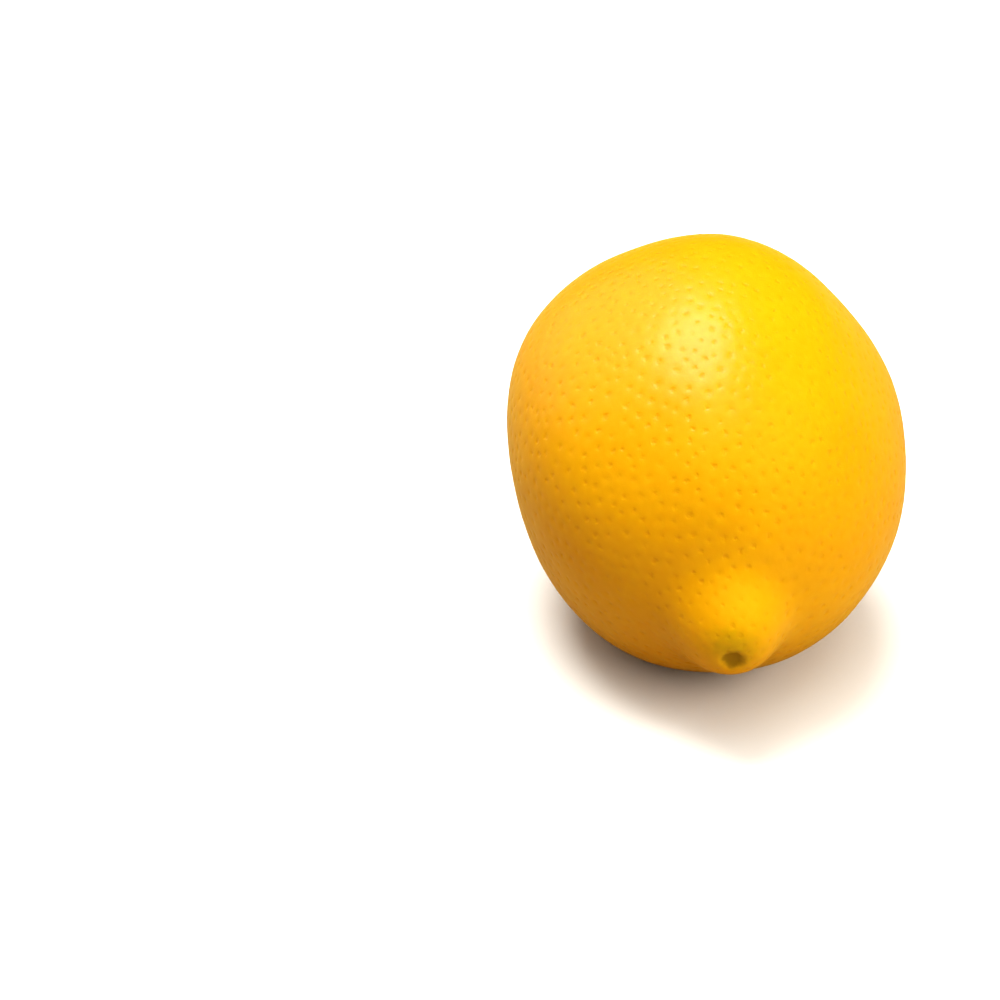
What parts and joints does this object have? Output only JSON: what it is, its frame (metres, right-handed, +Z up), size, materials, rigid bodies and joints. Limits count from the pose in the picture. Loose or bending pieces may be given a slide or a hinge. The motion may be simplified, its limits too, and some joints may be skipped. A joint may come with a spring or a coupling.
{
  "type": "lemon",
  "caption": "Whole ripe yellow lemon, lying on its side, with a blunt nipple at the blossom end and a dried stem button.",
  "frame": {"origin": "centre of the small flat that the fruit rests on", "axes": "+Z up, away from the resting flat; the fruit's axis lies near Y, with the nipple toward -Y and the stem end toward +Y; +X to the right, seen from the nipple end"},
  "size_m": [0.0625, 0.0794, 0.0628],
  "materials": {
    "rind": "satin, pitted with oil glands, a thin coat of wax",
    "calyx": "dry, matt and fibrous"
  },
  "bodies": {
    "root": {"fruit": "rind", "stem_button": "calyx"}
  },
  "joints": []
}
